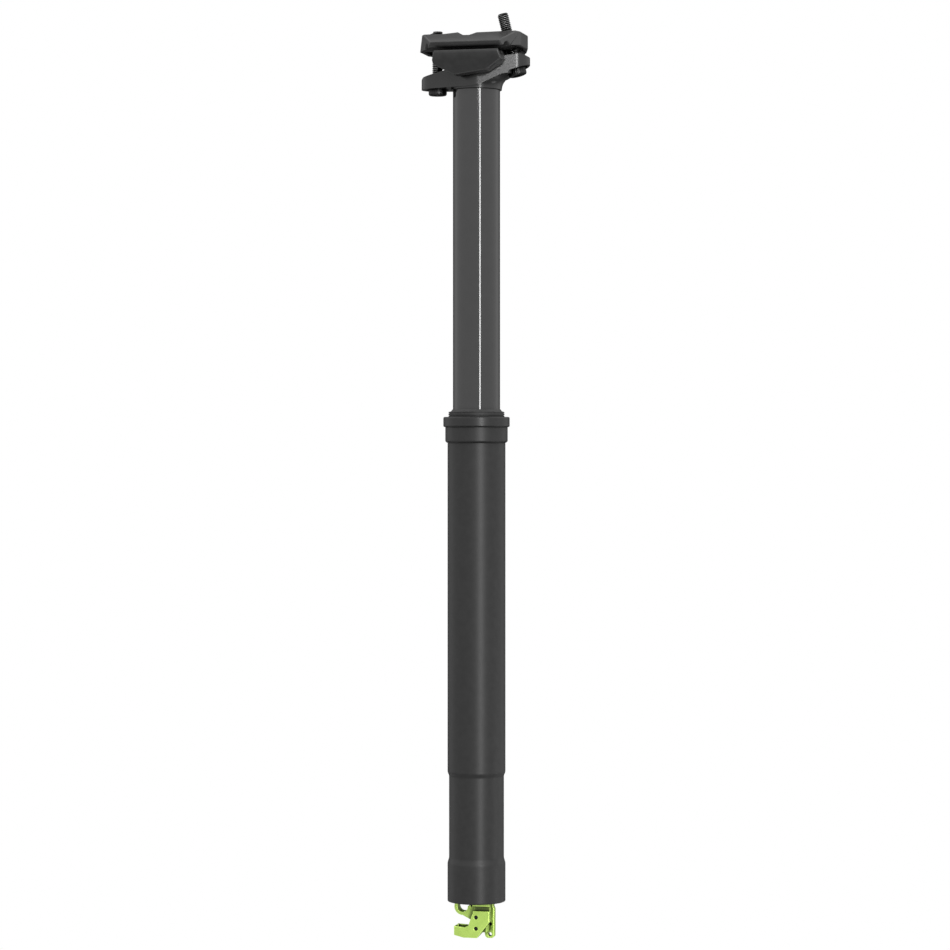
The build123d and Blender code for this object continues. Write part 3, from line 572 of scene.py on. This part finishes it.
def bolt_ring(shape, z, radius):
    # A ring of vertices about the bolt's axis, with a radius that the angle may change
    ring = []
    for i in range(BOLT_SEGMENTS):
        angle = TAU * i / BOLT_SEGMENTS
        r = radius(angle)
        ring.append(shape.verts.new((r * math.cos(angle) * MM, r * math.sin(angle) * MM, z * MM)))
    return ring


def bridge(shape, one, two, mark, crest):
    # Joins two rings, and marks the faces that lie beyond the crest's radius for a painted highlight
    for i in range(BOLT_SEGMENTS):
        j = (i + 1) % BOLT_SEGMENTS
        face = shape.faces.new((one[i], one[j], two[j], two[i]))
        face[mark] = float(min(v.co.xy.length for v in face.verts) > crest)


def threaded_bolt(name, node_name):
    shape = bmesh.new()
    mark = shape.faces.layers.float.new(EDGE_MARK)
    rings = [
        bolt_ring(shape, SOCKET_DEPTH, hexagon),
        bolt_ring(shape, SOCKET_RIM, hexagon),
        bolt_ring(shape, 0.0, lambda a: hexagon(a) + SOCKET_CHAMFER),
        *[bolt_ring(shape, z, lambda a: HEAD_R - inset) for z, inset in HEAD_CROWN],
        bolt_ring(shape, FLUTES_START, fluted),
        bolt_ring(shape, HEAD_HEIGHT - FLUTES_END, fluted),
        *[bolt_ring(shape, HEAD_HEIGHT - z, lambda a: HEAD_R - inset) for z, inset in HEAD_BASE],
        bolt_ring(shape, HEAD_HEIGHT, lambda a: ROOT_R),
    ]
    shape.faces.new(rings[0])
    # Nothing of the head lies beyond its own radius, so only the thread's crests are marked, and they get
    # painted glints
    for one, two in zip(rings, rings[1:]):
        bridge(shape, one, two, mark, HEAD_R * MM)
    total = int(SHANK_LENGTH / THREAD_PITCH * THREAD_STEPS)
    last = rings[-1]
    for step in range(1, total + 1):
        z = HEAD_HEIGHT + SHANK_LENGTH * step / total
        ring = bolt_ring(shape, z, lambda a: helix(z, a))
        bridge(shape, last, ring, mark, (BOLT_R - CREST_DEPTH) * MM)
        last = ring
    shape.faces.new(last)
    bmesh.ops.recalc_face_normals(shape, faces=shape.faces)
    bmesh.ops.transform(shape, matrix=bolt_frame(node_name), verts=shape.verts)
    piece = to_object(name, shape)
    smooth(piece, BOLT_SMOOTH)
    stand_for(piece, node_name)


threaded_bolt("front_bolt_threaded", "front_clamp_bolt")
threaded_bolt("rear_bolt_threaded", "rear_clamp_bolt")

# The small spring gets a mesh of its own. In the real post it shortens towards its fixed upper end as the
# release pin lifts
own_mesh(nodes["return_spring"])


# Floor, in metres: pale to the camera and dark in reflections, so that lower faces stay dark

FLOOR_Z = -0.45
FLOOR_SIZE = 0.6
FLOOR_DARK = grey(0.35)
FLOOR_PALE = grey(0.8)
FLOOR_ROUGH = (0.85, 0.95)
FLOOR_GRAIN = 40
FLOOR_DETAIL = 2.0


def floor_material():
    material, tree, shader = new_material("floor")
    view = tree.nodes.new("ShaderNodeLightPath")
    tone = ramped(tree, view.outputs["Is Camera Ray"], ((0.0, FLOOR_DARK), (1.0, FLOOR_PALE)))
    gloss = ranged(tree, grain(tree, FLOOR_GRAIN, FLOOR_DETAIL), NOISE_RANGE, *FLOOR_ROUGH)
    tree.links.new(tone, shader.inputs["Base Color"])
    tree.links.new(gloss, shader.inputs["Roughness"])
    return material


def add_floor():
    shape = bmesh.new()
    bmesh.ops.create_grid(shape, x_segments=1, y_segments=1, size=FLOOR_SIZE)
    floor = to_object("floor", shape)
    floor.location.z = FLOOR_Z
    floor.data.materials.append(floor_material())


# World: white to the camera. Its light falls off downwards and behind the object, so that
# the outline stays dark. Each pair is a share of the way, up from straight below or round
# to straight behind, and the grey level there.

CAMERA_AZIMUTH = math.radians(14)
SKY_BY_HEIGHT = ((0.0, 0.1), (0.3, 0.15), (0.42, 0.8), (0.58, 0.95), (0.75, 1.1), (1.0, 1.1))
SKY_BEHIND = ((0.0, 1.0), (1.0, 0.1))
HEIGHT_RANGE = (-1.0, 1.0)
BEHIND_RANGE = (0.5, 0.93)


def grey_ramp(tree, value, stops):
    return ramped(tree, value, [(position, grey(level)) for position, level in stops])


def add_world():
    world = bpy.data.worlds.new("studio")
    bpy.context.scene.world = world
    world.use_nodes = True
    sky = world.node_tree
    sky.nodes.clear()
    direction = sky.nodes.new("ShaderNodeTexCoord").outputs["Generated"]
    height = sky.nodes.new("ShaderNodeSeparateXYZ")
    behind = sky.nodes.new("ShaderNodeVectorMath")
    behind.operation = "DOT_PRODUCT"
    behind.inputs[1].default_value = (-math.sin(CAMERA_AZIMUTH), math.cos(CAMERA_AZIMUTH), 0.0)
    sky.links.new(direction, height.inputs["Vector"])
    sky.links.new(direction, behind.inputs[0])
    by_height = grey_ramp(sky, ranged(sky, height.outputs["Z"], HEIGHT_RANGE), SKY_BY_HEIGHT)
    by_side = grey_ramp(sky, ranged(sky, behind.outputs["Value"], BEHIND_RANGE), SKY_BEHIND)
    both = sky.nodes.new("ShaderNodeMath")
    both.operation = "MULTIPLY"
    sky.links.new(by_height, both.inputs[0])
    sky.links.new(by_side, both.inputs[1])
    lit = sky.nodes.new("ShaderNodeBackground")
    seen = sky.nodes.new("ShaderNodeBackground")
    seen.inputs["Color"].default_value = (*grey(1.0), 1.0)
    path = sky.nodes.new("ShaderNodeLightPath")
    choose = sky.nodes.new("ShaderNodeMixShader")
    out = sky.nodes.new("ShaderNodeOutputWorld")
    sky.links.new(both.outputs["Value"], lit.inputs["Color"])
    sky.links.new(path.outputs["Is Camera Ray"], choose.inputs["Fac"])
    sky.links.new(lit.outputs["Background"], choose.inputs[1])
    sky.links.new(seen.outputs["Background"], choose.inputs[2])
    sky.links.new(choose.outputs["Shader"], out.inputs["Surface"])


# Lamps: upright rectangles that face the tube's axis, with angles in degrees and sizes in metres.
# The glossy ones are mirrored in the polished faces, and the others only light the object.

LAMPS = (
    dict(name="strip", azimuth=31, distance=2.0, height=0.1, width=0.14, tall=2.2, watts=18),
    dict(name="arm_glow", azimuth=25, distance=2.0, height=0.52, width=0.35, tall=0.12, watts=3.6),
    dict(name="foot_edge", azimuth=100, distance=1.5, height=-0.6, width=0.6, tall=0.3, watts=1.0),
    dict(
        name="foot_fill", azimuth=62, distance=1.2, height=-0.6, width=0.3, tall=0.3, watts=3.0,
        glossy=False,
    ),
    dict(name="key", azimuth=35, distance=2.2, height=1.2, width=1.2, tall=1.2, watts=13, glossy=False),
    dict(
        name="back_key", azimuth=194, distance=2.2, height=0.6, width=1.2, tall=1.2, watts=40,
        glossy=False,
    ),
)


def around(azimuth, distance, height):
    # A point about the tube's axis; azimuth 0 is the bicycle's left side and turns to the rear
    return Vector((math.sin(azimuth) * distance, -math.cos(azimuth) * distance, height))


def add_lamp(name, azimuth, distance, height, width, tall, watts, glossy=True):
    data = bpy.data.lights.new(name, "AREA")
    data.shape = "RECTANGLE"
    data.size = width
    data.size_y = tall
    data.energy = watts
    lamp = bpy.data.objects.new(name, data)
    lamp.location = around(math.radians(azimuth), distance, height)
    target = Vector((0, 0, height))
    lamp.rotation_euler = (target - lamp.location).to_track_quat("-Z", "Y").to_euler()
    lamp.visible_glossy = glossy
    bpy.context.scene.collection.objects.link(lamp)


# Camera: level with the collar, and shifted by the photograph's offsets, in its pixels

CAMERA_DISTANCE = 1.638
CAMERA_LENS = 113.7
CAMERA_SENSOR = 36.0
PHOTO_WIDTH = 950
AXIS_RIGHT = 1.5
HORIZON_UP = 32.2


def add_camera():
    data = bpy.data.cameras.new("camera")
    data.lens = CAMERA_LENS
    data.sensor_width = CAMERA_SENSOR
    data.shift_x = -AXIS_RIGHT / PHOTO_WIDTH
    data.shift_y = -HORIZON_UP / PHOTO_WIDTH
    camera = bpy.data.objects.new("camera", data)
    camera.location = around(CAMERA_AZIMUTH, CAMERA_DISTANCE, 0.0)
    camera.rotation_euler = (math.radians(90), 0.0, CAMERA_AZIMUTH)
    bpy.context.scene.collection.objects.link(camera)
    bpy.context.scene.camera = camera


add_floor()
add_world()
for lamp in LAMPS:
    add_lamp(**lamp)
add_camera()
bpy.context.scene.view_settings.view_transform = "Standard"
